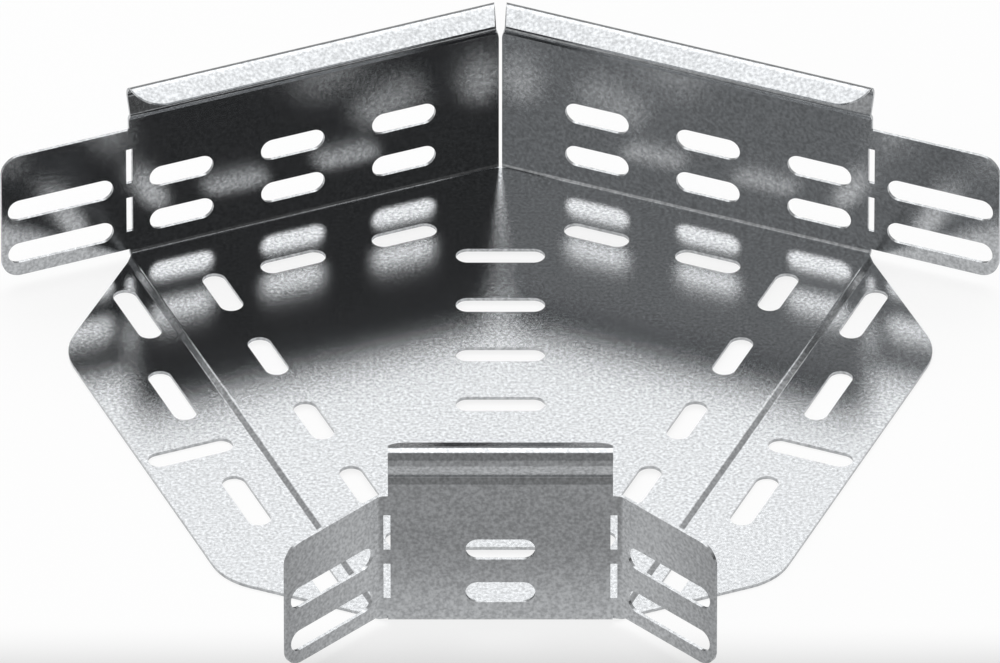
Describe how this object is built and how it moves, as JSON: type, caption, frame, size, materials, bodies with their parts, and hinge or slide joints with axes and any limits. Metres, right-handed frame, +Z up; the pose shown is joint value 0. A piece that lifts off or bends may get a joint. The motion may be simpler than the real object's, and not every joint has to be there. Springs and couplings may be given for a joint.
{
  "type": "cable tray bend",
  "caption": "Flat 45 degree bend for perforated cable tray, folded from galvanised sheet, with rolled wall edges, lowered joining flanges and slotted lugs.",
  "frame": {"origin": "middle of the outline, on the plane of the undersides of the two joining flanges", "axes": "+X across the bend from one mouth's side to the other, +Y from the inner wall to the mitred outer corner, +Z up"},
  "size_m": [0.2904, 0.2566, 0.0605],
  "materials": {
    "galvanised_sheet": "bright galvanised, fine grain"
  },
  "bodies": {
    "root": {"cable_tray_bend": "galvanised_sheet"}
  },
  "joints": []
}
